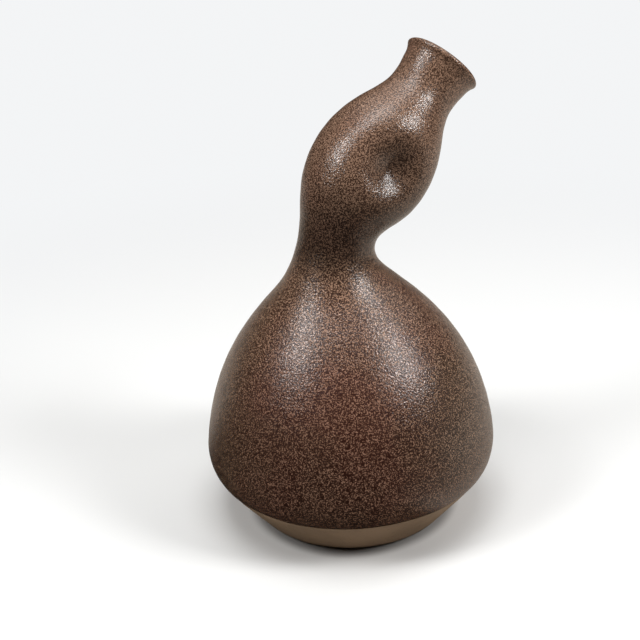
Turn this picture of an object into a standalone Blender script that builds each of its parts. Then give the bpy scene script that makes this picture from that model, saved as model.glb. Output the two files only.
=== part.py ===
"""Stoneware vase: a low wide body whose neck bends over into a thumbed bulb and a short flared spout.

Metres, +Z up. The origin is the centre of the standing ring, on the table. Five thrown sections are
luted rim to rim with slip, under one outer glaze and one liner glaze.
A place on the vase is its reach along the spine from the table, its depth below the finished surface
and its turn round the spine. The spine stands on +Z and bends over towards BEND_AZIMUTH.
"""

import math

import bmesh
import bpy
import numpy as np

# Outline of the finished vase: each rise is along the spine, from the station below it
FOOT_RADIUS = 0.0458
FLANK_RISE = 0.0193
FLANK_INSIDE_BELLY = 0.0063
LOW_BELLY_RISE = 0.0075
LOW_BELLY_INSIDE_BELLY = 0.0013
HIGH_BELLY_RISE = 0.0161
BELLY_RADIUS = 0.0675
SHOULDER_RISE = 0.0399
SHOULDER_RADIUS = 0.0537
CROWN_RISE = 0.0219
CROWN_RADIUS = 0.0369
NECK_ROOT_RISE = 0.0136
NECK_ROOT_RADIUS = 0.0244
NECK_WAIST_RISE = 0.0225
NECK_WAIST_RADIUS = 0.0177
LOW_BULB_RISE = 0.0135
LOW_BULB_RADIUS = 0.0231
BULB_RISE = 0.0169
BULB_RADIUS = 0.0270
HIGH_BULB_RISE = 0.0240
HIGH_BULB_RADIUS = 0.0221
SPOUT_WAIST_RISE = 0.0143
SPOUT_WAIST_RADIUS = 0.0159
LIP_RISE = 0.0205
LIP_RADIUS = 0.0182

# Spine: upright, swayed back a little, then bent over
BEND_AZIMUTH = math.radians(31.3)
BEND_LEAN = math.radians(45)
BEND_BELOW_WAIST = 0.0285
BEND_LENGTH = 0.0600
SWAY = 0.0061
SWAY_START = 0.0294
SWAY_LENGTH = 0.1408

# Thumb press in the front of the bulb, a little above its widest turn
PRESS_ABOVE_BULB = 0.0027
PRESS_TURN = math.radians(258)
PRESS_DEPTH = 0.0095
PRESS_HALF_LENGTH = 0.0117
PRESS_HALF_WIDTH = 0.0138

# Clay and glaze
WALL = 0.0050
LIP_WALL = 0.0030
FLOOR = 0.0075
GLAZE = 0.0005
GAP = 0.0003
GLAZE_LINE = 0.0240
BARE_DEPTH = 0.0003
MOUTH_GLAZE = 0.0070

# Turned foot
STANDING_RING_WIDTH = 0.0080
FOOT_EDGE = 0.0025
UNDERCUT = 0.0040
FOOT_RECESS = 0.0025
RECESS_SLOPE = 0.0020
FLOOR_CORNER = 0.0090

# Luted joints between the thrown sections
SLIP = 0.0010
LAP = 0.0035
BELLY_SEAM_ABOVE_LOW_BELLY = 0.0100

# Fineness of the meshes
AROUND = 32
BODY_PITCH = 0.0070
UPPER_PITCH = 0.0052
INSIDE_BODY_PITCH = 0.0150
INSIDE_UPPER_PITCH = 0.0075
ARC_STEPS = 5
SPINE_STEP = 0.00025
SHARP_ANGLE = math.radians(40)

RISES = (
    0.0,
    FLANK_RISE,
    LOW_BELLY_RISE,
    HIGH_BELLY_RISE,
    SHOULDER_RISE,
    CROWN_RISE,
    NECK_ROOT_RISE,
    NECK_WAIST_RISE,
    LOW_BULB_RISE,
    BULB_RISE,
    HIGH_BULB_RISE,
    SPOUT_WAIST_RISE,
    LIP_RISE,
)
RADII = (
    FOOT_RADIUS,
    BELLY_RADIUS - FLANK_INSIDE_BELLY,
    BELLY_RADIUS - LOW_BELLY_INSIDE_BELLY,
    BELLY_RADIUS,
    SHOULDER_RADIUS,
    CROWN_RADIUS,
    NECK_ROOT_RADIUS,
    NECK_WAIST_RADIUS,
    LOW_BULB_RADIUS,
    BULB_RADIUS,
    HIGH_BULB_RADIUS,
    SPOUT_WAIST_RADIUS,
    LIP_RADIUS,
)
REACHES = np.cumsum(RISES)
LOW_BELLY, NECK_ROOT, NECK_WAIST, BULB, SPOUT_WAIST, LIP = REACHES[[2, 6, 7, 9, 11, 12]]

CLAY_DEPTH = GLAZE + GAP
BEND_START = NECK_WAIST - BEND_BELOW_WAIST
PRESS_REACH = BULB + PRESS_ABOVE_BULB
BELLY_SEAM = LOW_BELLY + BELLY_SEAM_ABOVE_LOW_BELLY
NECK_SEAM = NECK_ROOT
BULB_SEAM = BULB
SPOUT_SEAM = SPOUT_WAIST
SEAM_WIDTH = SLIP + 2 * GAP
TURNS = np.arange(AROUND) * 2 * np.pi / AROUND


def spline_bends(x, y):
    """Second derivatives at the stations of the natural cubic curve through them."""
    step = np.diff(x)
    slope = np.diff(y) / step
    matrix = np.eye(len(x))
    right = np.zeros(len(x))
    for i in range(1, len(x) - 1):
        matrix[i, i - 1 : i + 2] = step[i - 1], 2 * (step[i - 1] + step[i]), step[i]
        right[i] = 6 * (slope[i] - slope[i - 1])
    return np.linalg.solve(matrix, right)


BENDS = spline_bends(REACHES, RADII)


def outline(reach):
    """Radius of the finished surface, and how fast it changes along the spine."""
    i = int(np.clip(np.searchsorted(REACHES, reach) - 1, 0, len(REACHES) - 2))
    step = REACHES[i + 1] - REACHES[i]
    up = (reach - REACHES[i]) / step
    down = 1 - up
    radius = down * RADII[i] + up * RADII[i + 1]
    radius += step**2 / 6 * ((down**3 - down) * BENDS[i] + (up**3 - up) * BENDS[i + 1])
    slope = (RADII[i + 1] - RADII[i]) / step
    slope += step / 6 * ((1 - 3 * down**2) * BENDS[i] + (3 * up**2 - 1) * BENDS[i + 1])
    return radius, slope


def ease(x):
    x = np.clip(x, 0, 1)
    return x * x * (3 - 2 * x)


def spine_direction(reach):
    """Steps sideways, towards the bend, and up, for each step of reach."""
    lean = BEND_LEAN * ease((reach - BEND_START) / BEND_LENGTH)
    sway_at = np.clip((reach - SWAY_START) / SWAY_LENGTH, 0, 1)
    sway = -SWAY * 6 * sway_at * (1 - sway_at) / SWAY_LENGTH
    return np.sin(lean) + sway, np.cos(lean)


SPINE_REACH = np.arange(0, LIP + SPINE_STEP, SPINE_STEP)
SPINE_SIDE, SPINE_HEIGHT = (
    np.concatenate([[0], np.cumsum((rate[1:] + rate[:-1]) / 2 * SPINE_STEP)])
    for rate in spine_direction(SPINE_REACH)
)


def press(reach, radius):
    """How far the thumb pushed the wall in at each turn of this ring."""
    round_it = (TURNS - PRESS_TURN + np.pi) % (2 * np.pi) - np.pi
    along = (reach - PRESS_REACH) / PRESS_HALF_LENGTH
    across = radius * round_it / PRESS_HALF_WIDTH
    return PRESS_DEPTH * np.exp(-(along**2) - across**2)


def ring(reach, depth):
    """One ring of points at this reach and depth."""
    side, up = spine_direction(reach)
    length = math.hypot(side, up)
    side, up = side / length, up / length
    radius, slope = outline(reach)
    radius = radius - press(reach, radius) - depth * math.hypot(1, slope)
    across = np.interp(reach, SPINE_REACH, SPINE_SIDE) + radius * np.cos(TURNS) * up
    height = np.interp(reach, SPINE_REACH, SPINE_HEIGHT) - radius * np.cos(TURNS) * side
    beside = radius * np.sin(TURNS)
    cos, sin = math.cos(BEND_AZIMUTH), math.sin(BEND_AZIMUTH)
    return np.stack([across * cos - beside * sin, across * sin + beside * cos, height], axis=1)


def level_ring(radius, height):
    """One ring about the foot's own axis, for the floor and the standing ring."""
    turns = TURNS + BEND_AZIMUTH
    return np.stack([radius * np.cos(turns), radius * np.sin(turns), np.full(AROUND, height)], axis=1)


def wall(reach):
    """Clay thickness, thinning from the floor to the lip."""
    return WALL + (LIP_WALL - WALL) * reach / LIP


def all_rows(stops, body_pitch, upper_pitch):
    """Reaches of the rings from the table to the lip: every stop, and even steps between."""
    found = [0.0]
    for end in sorted({*stops, NECK_ROOT, LIP}):
        start = found[-1]
        pitch = body_pitch if end <= NECK_ROOT else upper_pitch
        count = max(1, round((end - start) / pitch))
        found += [start + (end - start) * (i + 1) / count for i in range(count)]
    return found


SEAMS = (BELLY_SEAM, NECK_SEAM, BULB_SEAM, SPOUT_SEAM)
OUTSIDE_STOPS = [GLAZE_LINE, *SEAMS, *(seam + SEAM_WIDTH for seam in SEAMS)]
INSIDE_STOPS = [reach for seam in SEAMS for reach in (seam + LAP, seam + LAP + GAP)]
OUTSIDE_ROWS = all_rows(OUTSIDE_STOPS, BODY_PITCH, UPPER_PITCH)
INSIDE_ROWS = all_rows(INSIDE_STOPS, INSIDE_BODY_PITCH, INSIDE_UPPER_PITCH)


def rows(low, high, among):
    """The rows of a face from low to high, both included."""
    return [low, *(row for row in among if low < row < high), high]


def outer_face(low, high):
    return [ring(reach, CLAY_DEPTH) for reach in rows(low, high, OUTSIDE_ROWS)]


def inner_face(high, low, extra=0.0):
    """Rings down the inside of the clay, or further in by extra."""
    depth = CLAY_DEPTH + extra
    return [ring(reach, depth + wall(reach)) for reach in reversed(rows(low, high, INSIDE_ROWS))]


def floor_corner(extra=0.0):
    """Rings round the bend from the inner wall to the floor, as a quadratic curve."""

    def on_wall(height):
        radius, slope = outline(height)
        return np.array([radius - (CLAY_DEPTH + wall(height) + extra) * math.hypot(1, slope), height])

    start = on_wall(FLOOR + FLOOR_CORNER)
    corner = on_wall(FLOOR + extra)
    end = corner - [FLOOR_CORNER, 0]
    found = []
    for i in range(1, ARC_STEPS):
        t = i / (ARC_STEPS - 1)
        found.append(level_ring(*((1 - t) ** 2 * start + 2 * t * (1 - t) * corner + t**2 * end)))
    return found


def tongue(seam):
    """Top end of the section below a seam: an outer shoulder and an inner tongue."""
    split = CLAY_DEPTH + wall(seam) / 2
    top = seam + LAP
    return [ring(seam, split), ring(top, split)]


def socket(seam):
    """Bottom end of the section above a seam: it sits outside the tongue, on the slip."""
    split = CLAY_DEPTH + wall(seam) / 2 - GAP
    return [ring(seam + LAP + GAP, split), ring(seam + SEAM_WIDTH, split)]


def lip_arc(cover):
    """Rings over the rounded lip, this far below its finished surface."""
    half = CLAY_DEPTH + wall(LIP) / 2
    round_radius = half - cover
    found = []
    for i in range(ARC_STEPS + 1):
        angle = math.pi * i / ARC_STEPS
        reach = LIP - half + round_radius * math.sin(angle)
        found.append(ring(reach, half - round_radius * math.cos(angle)))
    return found


def lip_foot():
    """Reach where the rounding of the lip starts."""
    return LIP - CLAY_DEPTH - wall(LIP) / 2


def loft(name, rings, material, closed=True):
    """Skins the rings in turn: a closed loop is a ring-shaped solid, an open one gets two end fans."""
    mesh = bpy.data.meshes.new(name)
    bm = bmesh.new()
    loops = [[bm.verts.new(point) for point in points] for points in rings]
    pairs = list(zip(loops, loops[1:]))
    if closed:
        pairs.append((loops[-1], loops[0]))
    for low, high in pairs:
        # A quad folds from its first corner to its third: nested faces fold alike, rising with the turns
        rising = sum(vert.co.z for vert in high) > sum(vert.co.z for vert in low)
        for i in range(AROUND):
            following = (i + 1) % AROUND
            corners = (low[i], low[following], high[following], high[i])
            bm.faces.new(corners if rising else corners[1:] + corners[:1])
    if not closed:
        for loop in (loops[0], loops[-1]):
            middle = bm.verts.new(sum((vert.co for vert in loop[1:]), loop[0].co.copy()) / AROUND)
            for i in range(AROUND):
                bm.faces.new((middle, loop[i], loop[(i + 1) % AROUND]))
    bmesh.ops.recalc_face_normals(bm, faces=bm.faces)
    bm.to_mesh(mesh)
    bm.free()
    mesh.shade_smooth()
    mesh.set_sharp_from_angle(angle=SHARP_ANGLE)
    mesh.materials.append(material)
    obj = bpy.data.objects.new(name, mesh)
    bpy.context.collection.objects.link(obj)
    return obj


def clay_material(name, colour, roughness):
    material = bpy.data.materials.new(name)
    material.use_nodes = True
    shader = material.node_tree.nodes["Principled BSDF"]
    shader.inputs["Base Color"].default_value = (*colour, 1)
    shader.inputs["Roughness"].default_value = roughness
    shader.inputs["Metallic"].default_value = 0
    return material


def turned_base(material):
    """Floor, standing ring and flank, bare up to the glaze line and rebated for the glaze above it."""
    edge_radius, slope = outline(FOOT_EDGE)
    ring_outer = edge_radius - BARE_DEPTH * math.hypot(1, slope) - UNDERCUT
    ring_inner = ring_outer - STANDING_RING_WIDTH
    rings = [level_ring(ring_inner - RECESS_SLOPE, FOOT_RECESS)]
    rings += [level_ring(ring_inner, 0), level_ring(ring_outer, 0)]
    rings += [ring(reach, BARE_DEPTH) for reach in rows(FOOT_EDGE, GLAZE_LINE, OUTSIDE_ROWS)]
    rings += outer_face(GLAZE_LINE, BELLY_SEAM)
    rings += tongue(BELLY_SEAM)
    rings += inner_face(BELLY_SEAM + LAP, FLOOR + FLOOR_CORNER)
    rings += floor_corner()
    return loft("turned_base", rings, material, closed=False)


def thrown_section(name, low_seam, high_seam, material):
    """Open-ended section that sits on the tongue below it and holds up a tongue for the section above."""
    rings = outer_face(low_seam + SEAM_WIDTH, high_seam) + tongue(high_seam)
    rings += inner_face(high_seam + LAP, low_seam + LAP + GAP) + socket(low_seam)
    return loft(name, rings, material)


def flared_spout(material):
    rings = outer_face(SPOUT_SEAM + SEAM_WIDTH, lip_foot())[:-1] + lip_arc(CLAY_DEPTH)
    rings += inner_face(lip_foot(), SPOUT_SEAM + LAP + GAP)[1:] + socket(SPOUT_SEAM)
    return loft("flared_spout", rings, material)


def slip_joint(name, seam, material):
    """Ring of slip between a shoulder and the section that sits on it."""
    inner = CLAY_DEPTH + wall(seam) / 2 - GAP
    low = seam + GAP
    high = low + SLIP
    rings = [ring(low, CLAY_DEPTH), ring(high, CLAY_DEPTH), ring(high, inner), ring(low, inner)]
    return loft(name, rings, material)


def outer_glaze(material):
    """Coat from the glaze line, over the lip and a little way down the mouth."""
    back = CLAY_DEPTH + GAP
    outside = rows(GLAZE_LINE + GAP, lip_foot(), OUTSIDE_ROWS)[:-1]
    inside = rows(lip_foot() - MOUTH_GLAZE, lip_foot(), INSIDE_ROWS)[:-1]
    rings = [ring(reach, 0) for reach in outside] + lip_arc(0)
    rings += [ring(reach, back + wall(reach) + GLAZE) for reach in reversed(inside)]
    rings += [ring(reach, back + wall(reach)) for reach in inside] + lip_arc(GLAZE)[::-1]
    rings += [ring(reach, GLAZE) for reach in reversed(outside)]
    return loft("outer_glaze", rings, material)


def liner_glaze(material):
    """Coat over the floor and up the inside, as far as the outer glaze comes down the mouth."""
    top = lip_foot() - MOUTH_GLAZE - GAP
    low = FLOOR + FLOOR_CORNER
    back = [*inner_face(top, low, GAP), *floor_corner(GAP)]
    face = [*inner_face(top, low, GAP + GLAZE), *floor_corner(GAP + GLAZE)]
    return loft("liner_glaze", back[::-1] + face, material, closed=False)


def build():
    for obj in list(bpy.data.objects):
        bpy.data.objects.remove(obj, do_unlink=True)
    bare = clay_material("bare_clay", (0.205, 0.162, 0.118), 0.75)
    slip = clay_material("slip", (0.230, 0.185, 0.140), 0.85)
    glaze = clay_material("speckled_glaze", (0.155, 0.107, 0.080), 0.40)
    liner = clay_material("liner_glaze", (0.120, 0.085, 0.065), 0.35)
    turned_base(bare)
    thrown_section("shoulder_dome", BELLY_SEAM, NECK_SEAM, bare)
    thrown_section("neck_and_lower_bulb", NECK_SEAM, BULB_SEAM, bare)
    thrown_section("upper_bulb", BULB_SEAM, SPOUT_SEAM, bare)
    flared_spout(bare)
    slip_joint("belly_slip_joint", BELLY_SEAM, slip)
    slip_joint("neck_slip_joint", NECK_SEAM, slip)
    slip_joint("bulb_slip_joint", BULB_SEAM, slip)
    slip_joint("spout_slip_joint", SPOUT_SEAM, slip)
    outer_glaze(glaze)
    liner_glaze(liner)


build()
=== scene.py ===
"""Stoneware vase: speckled satin glaze over a bare clay foot, a thumbed bulb and a flared spout.

The visible coats are lofted finely round the same bent spine as the solids: every ring is a reach
along the spine, a depth below the finished surface and a turn round the spine. Metres, +Z up.
"""

import math

import bmesh
import bpy
import numpy as np
from mathutils import Matrix, Vector


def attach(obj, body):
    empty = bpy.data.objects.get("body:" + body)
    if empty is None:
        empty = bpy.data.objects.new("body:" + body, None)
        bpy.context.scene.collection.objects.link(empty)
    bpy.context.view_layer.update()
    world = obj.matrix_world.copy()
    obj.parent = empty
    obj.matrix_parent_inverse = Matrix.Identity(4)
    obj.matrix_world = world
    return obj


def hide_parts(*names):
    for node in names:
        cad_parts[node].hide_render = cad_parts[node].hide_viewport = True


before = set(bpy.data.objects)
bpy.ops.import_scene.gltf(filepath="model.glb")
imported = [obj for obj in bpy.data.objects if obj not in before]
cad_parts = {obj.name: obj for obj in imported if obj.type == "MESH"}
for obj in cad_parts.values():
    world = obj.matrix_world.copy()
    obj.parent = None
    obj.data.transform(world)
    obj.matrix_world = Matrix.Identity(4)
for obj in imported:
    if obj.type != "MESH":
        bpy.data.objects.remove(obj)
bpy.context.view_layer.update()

# Outline of the finished vase: rises along the spine between stations, and the radius at each
RISES = np.array(
    [0.0, 19.3, 7.5, 16.1, 39.9, 21.9, 13.6, 22.5, 13.5, 16.9, 24.0, 14.3, 20.5]
) / 1000
RADII = np.array(
    [45.8, 61.2, 66.2, 67.5, 53.7, 36.9, 24.4, 17.7, 23.1, 27.0, 22.1, 15.9, 18.2]
) / 1000
REACHES = np.cumsum(RISES)
NECK_WAIST, BULB, LIP = REACHES[[7, 9, 12]]
BELLY_SEAM = REACHES[2] + 0.0100

# Spine
BEND_AZIMUTH = math.radians(31.3)
BEND_LEAN = math.radians(45.0)
BEND_BELOW_WAIST = 0.0285
BEND_LENGTH = 0.0600
SWAY = 0.0061
SWAY_START = 0.0294
SWAY_LENGTH = 0.1408
BEND_START = NECK_WAIST - BEND_BELOW_WAIST
SPINE_STEP = 0.00025

# Thumb press
PRESS_REACH = BULB + 0.0027
PRESS_TURN = math.radians(258)
PRESS_DEPTH = 0.0095
PRESS_HALF_LENGTH = 0.0117
PRESS_HALF_WIDTH = 0.0138

# Coats and clay
WALL = 0.0050
LIP_WALL = 0.0030
GLAZE = 0.0005
GAP = 0.0003
CLAY_DEPTH = GLAZE + GAP
GLAZE_LINE = 0.0240
BARE_DEPTH = 0.0003
MOUTH_GLAZE = 0.0070
FLOOR = 0.0075
FLOOR_CORNER = 0.0090
STANDING_RING_WIDTH = 0.0080
UNDERCUT = 0.0040
FOOT_EDGE = 0.0025
FOOT_RECESS = 0.0025
RECESS_SLOPE = 0.0020

# Traces of the hand. A wave is: count round the vase, twist per metre of reach, share, phase
UNEVEN = 0.00018
UNEVEN_WAVES = ((2, 60, 1.0, 0.7), (3, -95, 0.6, 2.1))
RIDGE = 0.00003
RIDGE_PITCH = 0.0085
RIDGE_SWAY = 0.8
RIDGE_TWIST = 25
HAND_FADE = 0.0120

# Glaze line: its wave, and its rounded edge as heights above the line and depths below the surface
LINE_WAVE = 0.0004
LINE_WAVES = ((3, 0, 1.0, 0.4), (7, 0, 0.6, 1.9), (12, 0, 0.4, 4.0))
LINE_WAVE_REACH = 0.0040
GLAZE_EDGE = ((0.0, 0.00046), (0.0002, 0.00026), (0.0006, 0.00010), (0.0012, 0.0))

# Glaze rolled over the lip: a bead and the groove under it, each below the lip's top
LIP_BEAD = 0.00050
LIP_BEAD_BELOW = 0.0015
LIP_BEAD_HALF = 0.0014
LIP_GROOVE = 0.00025
LIP_GROOVE_BELOW = 0.0058
LIP_GROOVE_HALF = 0.0022

# Fineness of the meshes
AROUND = 176
FACE_STEP = 0.0010
LIP_FINE_LENGTH = 0.0080
LIP_FINE_STEP = 0.0004
LIP_FACETS = 20
LINER_STEP = 0.0015
HIDDEN_STEP = 0.0025
COARSE_BACK = 4
RECESS_SHARES = (0.25, 0.5, 0.75)
SHARP_ANGLE = math.radians(50)
TURNS = np.arange(AROUND) * 2 * np.pi / AROUND


# Form
def spline_bends(x, y):
    """Second derivatives of the natural cubic spline through the stations."""
    step = np.diff(x)
    slope = np.diff(y) / step
    matrix = np.eye(len(x))
    right = np.zeros(len(x))
    for i in range(1, len(x) - 1):
        matrix[i, i - 1 : i + 2] = step[i - 1], 2 * (step[i - 1] + step[i]), step[i]
        right[i] = 6 * (slope[i] - slope[i - 1])
    return np.linalg.solve(matrix, right)


BENDS = spline_bends(REACHES, RADII)


def outline(reach):
    """Radius of the finished vase at this reach, and its slope."""
    i = np.clip(np.searchsorted(REACHES, reach) - 1, 0, len(REACHES) - 2)
    step = REACHES[i + 1] - REACHES[i]
    up = (reach - REACHES[i]) / step
    down = 1 - up
    radius = down * RADII[i] + up * RADII[i + 1]
    radius += step**2 / 6 * ((down**3 - down) * BENDS[i] + (up**3 - up) * BENDS[i + 1])
    slope = (RADII[i + 1] - RADII[i]) / step
    slope += step / 6 * ((1 - 3 * down**2) * BENDS[i] + (3 * up**2 - 1) * BENDS[i + 1])
    return radius, slope


def ease(x):
    x = np.clip(x, 0, 1)
    return x * x * (3 - 2 * x)


def spine_direction(reach):
    """Sideways and upward rates of the spine in the plane that it bends in."""
    lean = BEND_LEAN * ease((reach - BEND_START) / BEND_LENGTH)
    sway_at = np.clip((reach - SWAY_START) / SWAY_LENGTH, 0, 1)
    sway = -SWAY * 6 * sway_at * (1 - sway_at) / SWAY_LENGTH
    return np.sin(lean) + sway, np.cos(lean)


SPINE_REACH = np.arange(0, LIP + SPINE_STEP, SPINE_STEP)
SPINE_SIDE, SPINE_HEIGHT = (
    np.concatenate([[0], np.cumsum((rate[1:] + rate[:-1]) / 2 * SPINE_STEP)])
    for rate in spine_direction(SPINE_REACH)
)


def waves(terms, reach):
    """Sum of sines round the vase, weighed so that it stays between -1 and 1."""
    total = sum(
        share * np.sin(count * TURNS + twist * reach + phase)
        for count, twist, share, phase in terms
    )
    return total / sum(share for _, _, share, _ in terms)


def press(reach, radius):
    """Depth of the thumb press round the vase."""
    round_it = (TURNS - PRESS_TURN + np.pi) % (2 * np.pi) - np.pi
    along = (reach - PRESS_REACH) / PRESS_HALF_LENGTH
    across = radius * round_it / PRESS_HALF_WIDTH
    return PRESS_DEPTH * np.exp(-(along**2) - across**2)


def hand(reach):
    """Slight unevenness and throwing ridges that the hands left, the same for every coat."""
    wander = RIDGE_SWAY * np.sin(TURNS + RIDGE_TWIST * reach)
    ridges = np.sin(2 * np.pi * reach / RIDGE_PITCH + wander)
    fade = ease(reach / HAND_FADE) * ease((LIP - reach) / HAND_FADE)
    return fade * (UNEVEN * waves(UNEVEN_WAVES, reach) + RIDGE * ridges)


def place(reach, radius):
    """Points at this reach, radius by turn, in the part's frame."""
    side, up = spine_direction(reach)
    length = np.hypot(side, up)
    side, up = side / length, up / length
    across = np.interp(reach, SPINE_REACH, SPINE_SIDE) + radius * np.cos(TURNS) * up
    height = np.interp(reach, SPINE_REACH, SPINE_HEIGHT) - radius * np.cos(TURNS) * side
    beside = radius * np.sin(TURNS)
    cos, sin = math.cos(BEND_AZIMUTH), math.sin(BEND_AZIMUTH)
    return np.stack([across * cos - beside * sin, across * sin + beside * cos, height], axis=1)


def ring(reach, depth):
    """Ring of points this deep below the finished surface, waving with the glaze line near it."""
    near_line = np.exp(-(((reach - GLAZE_LINE) / LINE_WAVE_REACH) ** 2))
    reach = reach + LINE_WAVE * waves(LINE_WAVES, 0) * near_line
    radius, slope = outline(reach)
    return place(reach, radius - press(reach, radius) - depth * np.hypot(1, slope) + hand(reach))


def level_ring(radius, height):
    turns = TURNS + BEND_AZIMUTH
    heights = np.full(AROUND, height)
    return np.stack([radius * np.cos(turns), radius * np.sin(turns), heights], axis=1)


def wall(reach):
    return WALL + (LIP_WALL - WALL) * reach / LIP


def steps(low, high, pitch):
    return np.linspace(low, high, max(2, round((high - low) / pitch) + 1))


LIP_HALF = CLAY_DEPTH + wall(LIP) / 2
LIP_FOOT = LIP - LIP_HALF


def lip_bead(reach):
    """How far the glaze rolled thick over the lip stands out, less the groove under it."""
    bead = (reach - (LIP - LIP_BEAD_BELOW)) / LIP_BEAD_HALF
    groove = (reach - (LIP - LIP_GROOVE_BELOW)) / LIP_GROOVE_HALF
    return LIP_BEAD * np.exp(-(bead**2)) - LIP_GROOVE * np.exp(-(groove**2))


def lip_arc(cover, beaded=False):
    """Rings over the rounded lip from the outside in, this deep below its finished surface."""
    round_radius = LIP_HALF - cover
    found = []
    for i in range(LIP_FACETS + 1):
        angle = math.pi * i / LIP_FACETS
        reach = LIP_FOOT + round_radius * math.sin(angle)
        out = lip_bead(reach) * max(math.cos(angle), 0) if beaded else 0
        found.append(ring(reach, LIP_HALF - round_radius * math.cos(angle) - out))
    return found


def loft(name, rings, material, closed=True):
    """Skin over the rings; closed joins the last ring to the first, else both ends are capped."""
    mesh = bpy.data.meshes.new(name)
    bm = bmesh.new()
    loops = [[bm.verts.new(point) for point in points] for points in rings]
    pairs = list(zip(loops, loops[1:]))
    if closed:
        pairs.append((loops[-1], loops[0]))
    for low, high in pairs:
        for i in range(AROUND):
            following = (i + 1) % AROUND
            bm.faces.new((low[i], low[following], high[following], high[i]))
    if not closed:
        for loop in (loops[0], loops[-1]):
            middle = bm.verts.new(sum((vert.co for vert in loop[1:]), loop[0].co.copy()) / AROUND)
            for i in range(AROUND):
                bm.faces.new((middle, loop[i], loop[(i + 1) % AROUND]))
    bmesh.ops.recalc_face_normals(bm, faces=bm.faces)
    bm.to_mesh(mesh)
    bm.free()
    mesh.shade_smooth()
    mesh.set_sharp_from_angle(angle=SHARP_ANGLE)
    mesh.materials.append(material)
    obj = bpy.data.objects.new(name, mesh)
    bpy.context.scene.collection.objects.link(obj)
    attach(obj, "root")
    return obj


# Shader nodes
class Nodes:
    """Small helper that adds and links a material's nodes."""

    def __init__(self, name):
        self.material = bpy.data.materials.new(name)
        self.material.use_nodes = True
        self.tree = self.material.node_tree
        self.shader = self.tree.nodes["Principled BSDF"]
        self.place = self.add("ShaderNodeTexCoord").outputs["Object"]

    def add(self, kind, **settings):
        node = self.tree.nodes.new(kind)
        for key, value in settings.items():
            setattr(node, key, value)
        return node

    def feed(self, socket, value):
        if isinstance(value, bpy.types.NodeSocket):
            self.tree.links.new(value, socket)
        else:
            socket.default_value = value

    def along(self, axis):
        node = self.add("ShaderNodeSeparateXYZ")
        self.feed(node.inputs["Vector"], self.place)
        return node.outputs[axis]

    def stretch(self, scale):
        node = self.add("ShaderNodeMapping")
        self.feed(node.inputs["Vector"], self.place)
        node.inputs["Scale"].default_value = scale
        return node.outputs["Vector"]

    def distance(self, point, vector=None):
        node = self.add("ShaderNodeVectorMath", operation="DISTANCE")
        self.feed(node.inputs[0], vector or self.place)
        node.inputs[1].default_value = point
        return node.outputs["Value"]

    def noise(self, scale, detail=2.0, roughness=0.5, distortion=0.0, vector=None):
        node = self.add("ShaderNodeTexNoise")
        self.feed(node.inputs["Vector"], vector or self.place)
        node.inputs["Scale"].default_value = scale
        node.inputs["Detail"].default_value = detail
        node.inputs["Roughness"].default_value = roughness
        node.inputs["Distortion"].default_value = distortion
        return node.outputs["Fac"]

    def span(self, value, low, high, to_low=0.0, to_high=1.0):
        node = self.add("ShaderNodeMapRange", interpolation_type="SMOOTHSTEP")
        self.feed(node.inputs["Value"], value)
        node.inputs["From Min"].default_value = low
        node.inputs["From Max"].default_value = high
        node.inputs["To Min"].default_value = to_low
        node.inputs["To Max"].default_value = to_high
        return node.outputs["Result"]

    def mix(self, factor, low, high, blend="MIX"):
        node = self.add("ShaderNodeMix", data_type="RGBA", blend_type=blend)
        self.feed(node.inputs["Factor"], factor)
        self.feed(node.inputs["A"], (*low, 1) if isinstance(low, tuple) else low)
        self.feed(node.inputs["B"], (*high, 1) if isinstance(high, tuple) else high)
        return node.outputs["Result"]

    def maths(self, operation, a, b):
        node = self.add("ShaderNodeMath", operation=operation)
        self.feed(node.inputs[0], a)
        self.feed(node.inputs[1], b)
        return node.outputs[0]

    def bump(self, height, distance, strength=1.0, normal=None):
        node = self.add("ShaderNodeBump")
        node.inputs["Strength"].default_value = strength
        node.inputs["Distance"].default_value = distance
        self.feed(node.inputs["Height"], height)
        if normal:
            self.feed(node.inputs["Normal"], normal)
        return node.outputs["Normal"]

    def finish(self, colour, roughness, normal):
        self.feed(self.shader.inputs["Base Color"], colour)
        self.feed(self.shader.inputs["Roughness"], roughness)
        self.feed(self.shader.inputs["Normal"], normal)
        return self.material


# Speckled glaze. A pair is where along a noise, a height or a distance a change starts and ends
SPECK_SCALE = 1640
FINE_SPECK_SCALE = 2.3 * SPECK_SCALE
FINE_SPECK_SHARE = 0.30
SPECK_EDGE = (0.515, 0.585)
UPPER_PALE = 0.036
UPPER_PALE_HEIGHTS = (0.06, 0.18)
PALE_GRAIN = (0.313, 0.199, 0.132)
PALE_GRAIN_WARM = (0.316, 0.176, 0.122)
DARK_GLASS = (0.020, 0.006, 0.001)
DARK_GLASS_WARM = (0.030, 0.005, 0.001)
DARK_GLASS_TOP = (0.060, 0.030, 0.018)
DARK_GLASS_TOP_HEIGHTS = (0.10, 0.19)
PATCH_SCALE = 24
PATCH_EDGE = (0.46, 0.66)
PATCH_WARMTH = 0.55
FLUSH_AT = (-0.008, -0.056, 0.044)
FLUSH_STRETCH = (1.0, 1.0, 0.6)
FLUSH_DISTANCES = (0.062, 0.026)
FLUSH_WARMTH = 0.62
TOP_WARMTH = 0.4
TOP_WARMTH_HEIGHTS = (0.13, 0.18)
# Painted shade and light: the glaze darker low down and brighter up the body, as if lit from above
BODY_SHADING = (0.81, 1.17)
BODY_SHADING_HEIGHTS = (0.04, 0.12)
# Colour darker towards the top of the bulb
BULB_TONES = (1.0, 0.84)
BULB_TONE_HEIGHTS = (0.120, 0.180)
# Painted shade in the neck under the overhanging bulb: colour darkened between these heights
THROAT_SHADE = 0.66
THROAT_FROM = (0.120, 0.136)
THROAT_TO = (0.180, 0.140)
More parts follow.
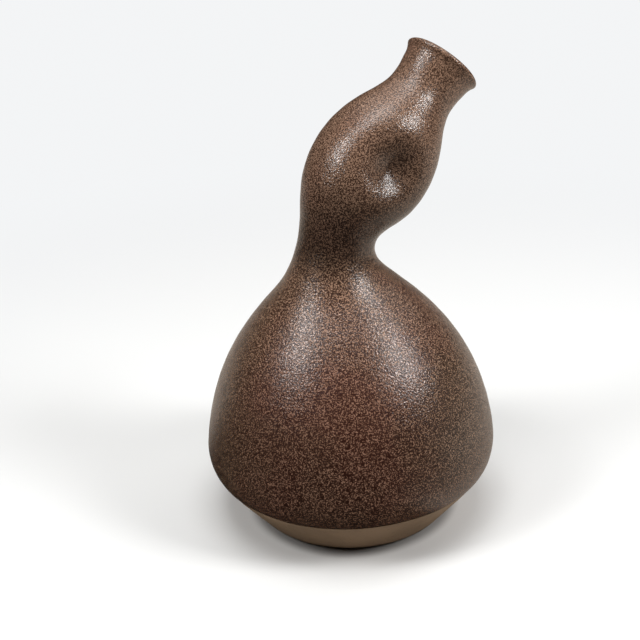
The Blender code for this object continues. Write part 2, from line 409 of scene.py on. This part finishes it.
# Painted shade in the thumb press: colour darker within these distances of this point
PRESS_SHADE_AT = (0.0245, -0.0080, 0.1735)
PRESS_SHADE_TONES = (0.60, 1.0)
PRESS_SHADE_DISTANCES = (0.002, 0.018)
ROUGHNESS_EDGE = (0.46, 0.58)
GLAZE_ROUGHNESS = (0.35, 0.14)
UPPER_GLOSS = (1.0, 0.80)
UPPER_GLOSS_HEIGHTS = (0.11, 0.15)
SPARKLE_SCALE = 1300
SPARKLE_BUMP = 0.00021


def glaze_warmth(n, height):
    """Share of the warmer colours: loose patches, a flush low on the front, and the top."""
    patches = n.span(n.noise(PATCH_SCALE, detail=3.0), *PATCH_EDGE, 0.0, PATCH_WARMTH)
    away = n.distance(FLUSH_AT, n.stretch(FLUSH_STRETCH))
    flush = n.span(away, *FLUSH_DISTANCES, 0.0, FLUSH_WARMTH)
    top = n.span(height, *TOP_WARMTH_HEIGHTS, 0.0, TOP_WARMTH)
    return n.maths("MINIMUM", n.maths("ADD", n.maths("ADD", patches, flush), top), 1.0)


def glaze_painted_shading(n, height):
    """Factor on the colour that paints light and shade: painted shade low down and painted light up
    the body, painted shade in the neck and in the thumb press, and darker towards the bulb's top.
    """
    # painted shade low down and painted light higher up the body
    body = n.span(height, *BODY_SHADING_HEIGHTS, *BODY_SHADING)
    bulb = n.span(height, *BULB_TONE_HEIGHTS, *BULB_TONES)
    # painted shade in the neck
    throat = n.maths("MULTIPLY", n.span(height, *THROAT_FROM), n.span(height, *THROAT_TO))
    neck = n.maths("SUBTRACT", 1.0, n.maths("MULTIPLY", throat, THROAT_SHADE))
    # painted shade in the thumb press
    press_shade = n.span(n.distance(PRESS_SHADE_AT), *PRESS_SHADE_DISTANCES, *PRESS_SHADE_TONES)
    return n.maths("MULTIPLY", n.maths("MULTIPLY", n.maths("MULTIPLY", body, bulb), neck), press_shade)


def speckled_glaze():
    """Pale grains in a dark red-brown glass, matt where it is darkest, with a fine sparkle."""
    n = Nodes("speckled_satin_glaze")
    height = n.along("Z")
    grain = n.noise(SPECK_SCALE, detail=1.0, roughness=0.6)
    fine = n.noise(FINE_SPECK_SCALE, detail=0.0)
    mottle = n.maths(
        "ADD",
        n.maths("MULTIPLY", grain, 1 - FINE_SPECK_SHARE),
        n.maths("MULTIPLY", fine, FINE_SPECK_SHARE),
    )
    paler = n.span(height, *UPPER_PALE_HEIGHTS, 0.0, UPPER_PALE)
    specks = n.span(n.maths("ADD", mottle, paler), *SPECK_EDGE)
    warm = glaze_warmth(n, height)
    light = n.mix(warm, PALE_GRAIN, PALE_GRAIN_WARM)
    dark = n.mix(warm, DARK_GLASS, DARK_GLASS_WARM)
    dark = n.mix(n.span(height, *DARK_GLASS_TOP_HEIGHTS), dark, DARK_GLASS_TOP)
    colour = n.mix(1.0, n.mix(specks, dark, light), glaze_painted_shading(n, height), "MULTIPLY")
    gloss = n.span(height, *UPPER_GLOSS_HEIGHTS, *UPPER_GLOSS)
    roughness = n.maths("MULTIPLY", n.span(mottle, *ROUGHNESS_EDGE, *GLAZE_ROUGHNESS), gloss)
    return n.finish(colour, roughness, n.bump(n.noise(SPARKLE_SCALE, detail=1.0), SPARKLE_BUMP))


# Bare clay of the foot
FOOT_CLAY = (0.310, 0.214, 0.140)
FOOT_CLAY_PALE = (0.362, 0.250, 0.164)
CLAY_PATCH_SCALE = 60
CLAY_PATCH_EDGE = (0.35, 0.65)
CLAY_ROUGHNESS = (0.62, 0.74)
CLAY_ROUGHNESS_EDGE = (0.3, 0.7)
CLAY_GRAIN_SCALE = 900
CLAY_GRAIN_BUMP = 0.00004
CLAY_PIT = (0.11, 0.085, 0.06)
CLAY_PIT_SHARE = 0.35
CLAY_PIT_EDGE = (0.30, 0.42)
TURNING_STRETCH = (25, 25, 1400)
TURNING_BUMP = 0.00010
CLAY_BUMP_STRENGTH = 0.5


def bare_clay():
    """Matt clay with dark pits and fine turning lines round the foot."""
    n = Nodes("bare_foot_clay")
    grain = n.noise(CLAY_GRAIN_SCALE, detail=3.0, roughness=0.6)
    patch = n.noise(CLAY_PATCH_SCALE, detail=3.0)
    lines = n.noise(1.0, detail=2.0, vector=n.stretch(TURNING_STRETCH))
    colour = n.mix(n.span(patch, *CLAY_PATCH_EDGE), FOOT_CLAY, FOOT_CLAY_PALE)
    colour = n.mix(n.span(grain, *CLAY_PIT_EDGE, CLAY_PIT_SHARE, 0.0), colour, CLAY_PIT)
    normal = n.bump(lines, TURNING_BUMP, CLAY_BUMP_STRENGTH)
    normal = n.bump(grain, CLAY_GRAIN_BUMP, CLAY_BUMP_STRENGTH, normal)
    return n.finish(colour, n.span(patch, *CLAY_ROUGHNESS_EDGE, *CLAY_ROUGHNESS), normal)


# Liner glaze, and the clay and slip of the covered sections
LINER_DARK = (0.05, 0.03, 0.02)
LINER_LIGHT = (0.16, 0.11, 0.08)
LINER_GRAIN_SCALE = 620
LINER_GRAIN_EDGE = (0.38, 0.62)
LINER_ROUGHNESS = (0.40, 0.30)
LINER_ROUGHNESS_EDGE = (0.35, 0.65)
LINER_BUMP = 0.0001
SECTION_CLAY = (0.205, 0.162, 0.118)
SECTION_ROUGHNESS = 0.75
SLIP = (0.230, 0.185, 0.140)
SLIP_ROUGHNESS = 0.85
PLAIN_CLAY_SCALE = 700
PLAIN_CLAY_EDGE = (0.35, 0.60)
PLAIN_CLAY_DARKER = 0.75
PLAIN_CLAY_SPREAD = 0.05
PLAIN_CLAY_SPREAD_EDGE = (0.3, 0.7)
PLAIN_CLAY_BUMP = 0.00005
COVERED_BUMP_STRENGTH = 0.6


def liner():
    n = Nodes("liner_satin_glaze")
    grain = n.noise(LINER_GRAIN_SCALE, detail=1.5, distortion=0.35)
    colour = n.mix(n.span(grain, *LINER_GRAIN_EDGE), LINER_DARK, LINER_LIGHT)
    roughness = n.span(grain, *LINER_ROUGHNESS_EDGE, *LINER_ROUGHNESS)
    return n.finish(colour, roughness, n.bump(grain, LINER_BUMP, COVERED_BUMP_STRENGTH))


def plain_clay(name, colour, roughness):
    """Fine-grained matt clay of one colour."""
    n = Nodes(name)
    grain = n.noise(PLAIN_CLAY_SCALE, detail=3.0)
    darker = tuple(PLAIN_CLAY_DARKER * value for value in colour)
    tone = n.mix(n.span(grain, *PLAIN_CLAY_EDGE), darker, colour)
    smoother, rougher = roughness - PLAIN_CLAY_SPREAD, roughness + PLAIN_CLAY_SPREAD
    rough = n.span(grain, *PLAIN_CLAY_SPREAD_EDGE, smoother, rougher)
    return n.finish(tone, rough, n.bump(grain, PLAIN_CLAY_BUMP, COVERED_BUMP_STRENGTH))


def paint_solids():
    clay = plain_clay("section_clay", SECTION_CLAY, SECTION_ROUGHNESS)
    slip = plain_clay("joint_slip", SLIP, SLIP_ROUGHNESS)
    for name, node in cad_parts.items():
        node.data.materials.clear()
        node.data.materials.append(slip if name.endswith("slip_joint") else clay)


# Visible pieces
def glaze_coat():
    """Outer glaze: its edge, outer face, rolled lip and mouth, then a coarser back face."""
    start = GLAZE_LINE + GAP
    outside = steps(start + GLAZE_EDGE[-1][0], LIP_FOOT, FACE_STEP)
    fine_start = LIP_FOOT - LIP_FINE_LENGTH
    fine = steps(fine_start, LIP_FOOT, LIP_FINE_STEP)[:-1]
    face = np.concatenate([outside[outside < fine_start], fine])
    inside = steps(LIP_FOOT - MOUTH_GLAZE, LIP_FOOT, FACE_STEP)[:-1]
    behind_wall = CLAY_DEPTH + GAP
    rings = [ring(start + above, depth) for above, depth in GLAZE_EDGE[:-1]]
    rings += [ring(reach, -lip_bead(reach)) for reach in face]
    rings += lip_arc(0, beaded=True)
    rings += [ring(reach, behind_wall + wall(reach) + GLAZE) for reach in reversed(inside)]
    rings += [ring(reach, behind_wall + wall(reach)) for reach in inside[::2]]
    rings += lip_arc(GLAZE)[::-1]
    rings += [ring(reach, GLAZE) for reach in reversed(outside[:-1:COARSE_BACK])]
    rings += [ring(start, GLAZE)]
    coat = loft("glaze_coat", rings, speckled_glaze())
    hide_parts("outer_glaze")


def turned_foot():
    """Base section: recess, standing ring, undercut foot, bare band, covered wall and inside."""
    edge_radius, edge_slope = outline(FOOT_EDGE)
    edge_radius -= BARE_DEPTH * math.hypot(1, edge_slope)
    ring_outer = edge_radius - UNDERCUT
    ring_inner = ring_outer - STANDING_RING_WIDTH
    rings = [level_ring(ring_inner * share, FOOT_RECESS) for share in RECESS_SHARES]
    rings += [level_ring(ring_inner - RECESS_SLOPE, FOOT_RECESS)]
    rings += [level_ring(ring_inner, 0), level_ring(ring_outer, 0)]
    rings += [ring(reach, BARE_DEPTH) for reach in steps(FOOT_EDGE, GLAZE_LINE, FACE_STEP)]
    rings += [ring(reach, CLAY_DEPTH) for reach in steps(GLAZE_LINE, BELLY_SEAM, HIDDEN_STEP)]
    inside = steps(FLOOR + FLOOR_CORNER, BELLY_SEAM, HIDDEN_STEP)
    rings += [ring(reach, CLAY_DEPTH + wall(reach)) for reach in inside[::-1]]
    foot = loft("turned_foot", rings, bare_clay(), closed=False)
    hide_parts("turned_base")


def liner_coat():
    """Poured glaze inside: a coarse back face up the wall, then the face that is seen back down."""
    top = LIP_FOOT - MOUTH_GLAZE - GAP
    rows = steps(FLOOR + FLOOR_CORNER, top, LINER_STEP)
    back = CLAY_DEPTH + GAP
    rings = [ring(reach, back + wall(reach)) for reach in rows[:-1:COARSE_BACK]]
    rings += [ring(top, back + wall(top))]
    rings += [ring(reach, back + GLAZE + wall(reach)) for reach in rows[::-1]]
    lining = loft("liner_coat", rings, liner(), closed=False)
    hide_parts("liner_glaze")


# Floor and backdrop. Mirrored: what the glaze reflects, darker before the vase and paler behind it
FLOOR_RADIUS = 4.0
FLOOR_SEGMENTS = 96
FLOOR_COLOUR = (0.82, 0.82, 0.81)
# Painted contact shadow on the floor round the foot, seen by the camera
CONTACT_SHADOW_COLOUR = (0.34, 0.33, 0.32)
CONTACT_SHADOW_DISTANCES = (0.0465, 0.0530)
BOUNCE_COLOUR = (0.42, 0.39, 0.35)
MIRRORED_COLOUR = (1.0, 0.88, 0.76)
MIRRORED_SLANT = 0.5
MIRRORED_BAND = (-0.03, 0.04)
MIRRORED_SHARES = (0.02, 0.58)
FLANK_SHIFT = 0.09
FLANK_FROM = (0.035, 0.075)
FLANK_TO = (0.150, 0.100)
BACKDROP_COLOUR = (0.90, 0.91, 0.92, 1)
BACKDROP_DISTANCES = (0.12, 0.55)


def mirrored_floor(n):
    """Colour that the glaze mirrors: paler behind, to the right and close to the right flank."""
    right = n.along("X")
    flank = n.maths("MULTIPLY", n.span(right, *FLANK_FROM), n.span(right, *FLANK_TO))
    slant = n.maths("ADD", n.along("Y"), n.maths("MULTIPLY", right, MIRRORED_SLANT))
    slant = n.maths("ADD", slant, n.maths("MULTIPLY", flank, FLANK_SHIFT))
    return n.mix(n.span(slant, *MIRRORED_BAND, *MIRRORED_SHARES), (0.0, 0.0, 0.0), MIRRORED_COLOUR)


def pale_floor():
    """Plain floor that fades into the backdrop, with a painted contact shadow right round the foot.
    """
    n = Nodes("pale_floor")
    n.shader.inputs["Specular IOR Level"].default_value = 0.0
    path = n.add("ShaderNodeLightPath").outputs
    away = n.distance((0, 0, 0))
    unseen = n.mix(path["Is Glossy Ray"], BOUNCE_COLOUR, mirrored_floor(n))
    # painted contact shadow near the foot
    shown = n.mix(n.span(away, *CONTACT_SHADOW_DISTANCES), CONTACT_SHADOW_COLOUR, FLOOR_COLOUR)
    n.feed(n.shader.inputs["Base Color"], n.mix(path["Is Camera Ray"], unseen, shown))
    backdrop = n.add("ShaderNodeEmission")
    backdrop.inputs["Color"].default_value = BACKDROP_COLOUR
    faded = n.maths("MULTIPLY", n.span(away, *BACKDROP_DISTANCES), path["Is Camera Ray"])
    seen = n.add("ShaderNodeMixShader")
    n.feed(seen.inputs[0], faded)
    n.feed(seen.inputs[1], n.shader.outputs["BSDF"])
    n.feed(seen.inputs[2], backdrop.outputs["Emission"])
    n.feed(n.tree.nodes["Material Output"].inputs["Surface"], seen.outputs["Shader"])
    return n.material


def lay_floor():
    mesh = bpy.data.meshes.new("floor")
    bm = bmesh.new()
    bmesh.ops.create_circle(bm, cap_ends=True, segments=FLOOR_SEGMENTS, radius=FLOOR_RADIUS)
    bm.to_mesh(mesh)
    bm.free()
    mesh.materials.append(pale_floor())
    floor = bpy.data.objects.new("floor", mesh)
    bpy.context.scene.collection.objects.link(floor)


# Camera, fitted to the ellipses of the foot and the glaze line
CAMERA_DISTANCE = 0.600
CAMERA_ELEVATION = math.radians(33)
CAMERA_PITCH = math.radians(24.633)
CAMERA_YAW = math.radians(1.338)
CAMERA_ROLL = math.radians(2.98)
CAMERA_LENS = 67.5
CAMERA_SENSOR = 36.0


def set_camera():
    """Camera before the vase, pitched down, then yawed left and rolled."""
    forward = Vector((0, math.cos(CAMERA_PITCH), -math.sin(CAMERA_PITCH)))
    above = Vector((0, math.sin(CAMERA_PITCH), math.cos(CAMERA_PITCH)))
    right = Vector((1, 0, 0))
    turn = Matrix.Rotation(CAMERA_YAW, 3, "Z")
    forward, above, right = turn @ forward, turn @ above, turn @ right
    cos, sin = math.cos(CAMERA_ROLL), math.sin(CAMERA_ROLL)
    right, above = cos * right - sin * above, sin * right + cos * above
    back = CAMERA_DISTANCE * math.cos(CAMERA_ELEVATION)
    height = CAMERA_DISTANCE * math.sin(CAMERA_ELEVATION)
    data = bpy.data.cameras.new("camera")
    data.lens = CAMERA_LENS
    data.sensor_width = CAMERA_SENSOR
    camera = bpy.data.objects.new("camera", data)
    camera.matrix_world = Matrix((
        (right.x, above.x, -forward.x, 0),
        (right.y, above.y, -forward.y, -back),
        (right.z, above.z, -forward.z, height),
        (0, 0, 0, 1),
    ))
    bpy.context.scene.collection.objects.link(camera)
    bpy.context.scene.camera = camera


# Lamps: name, bearing from the front (positive to the right), elevation, width, height, watts
LAMP_DISTANCE = 1.3
LAMP_AIM = Vector((0, 0, 0.11))
LAMPS = (
    ("left_lamp", -65, 43, 0.40, 0.46, 8.7),
    ("right_lamp", 68, 37, 0.36, 0.48, 10.6),
    ("top_lamp", 0, 86, 0.80, 0.80, 8.6),
    ("top_left_lamp", -38, 72, 0.40, 0.40, 2.0),
    ("back_lamp", 180, 60, 1.20, 0.80, 2.2),
    ("back_right_lamp", 128, 42, 0.70, 0.70, 2.2),
)


def lamp(name, bearing, elevation, width, height, watts):
    """Soft lamp aimed at the middle of the vase."""
    data = bpy.data.lights.new(name, "AREA")
    data.shape = "RECTANGLE"
    data.size = width
    data.size_y = height
    data.energy = watts
    b, e = math.radians(bearing), math.radians(elevation)
    towards = Vector((math.sin(b) * math.cos(e), -math.cos(b) * math.cos(e), math.sin(e)))
    offset = towards * LAMP_DISTANCE
    obj = bpy.data.objects.new(name, data)
    obj.location = LAMP_AIM + offset
    obj.rotation_euler = (-offset).to_track_quat("-Z", "Y").to_euler()
    bpy.context.scene.collection.objects.link(obj)


# World: faint fill light, and the backdrop's colour where the camera looks past the floor
FILL_COLOUR = (0.93, 0.94, 0.95, 1)
FILL_STRENGTH = 0.01


def studio_world():
    world = bpy.data.worlds.new("studio")
    world.use_nodes = True
    bpy.context.scene.world = world
    tree = world.node_tree
    faint = tree.nodes["Background"]
    faint.inputs["Color"].default_value = FILL_COLOUR
    faint.inputs["Strength"].default_value = FILL_STRENGTH
    behind = tree.nodes.new("ShaderNodeBackground")
    behind.inputs["Color"].default_value = BACKDROP_COLOUR
    path = tree.nodes.new("ShaderNodeLightPath")
    either = tree.nodes.new("ShaderNodeMixShader")
    tree.links.new(path.outputs["Is Camera Ray"], either.inputs[0])
    tree.links.new(faint.outputs["Background"], either.inputs[1])
    tree.links.new(behind.outputs["Background"], either.inputs[2])
    tree.links.new(either.outputs["Shader"], tree.nodes["World Output"].inputs["Surface"])


paint_solids()
glaze_coat()
turned_foot()
liner_coat()
lay_floor()
set_camera()
for settings in LAMPS:
    lamp(*settings)
studio_world()
bpy.context.scene.view_settings.view_transform = "Standard"
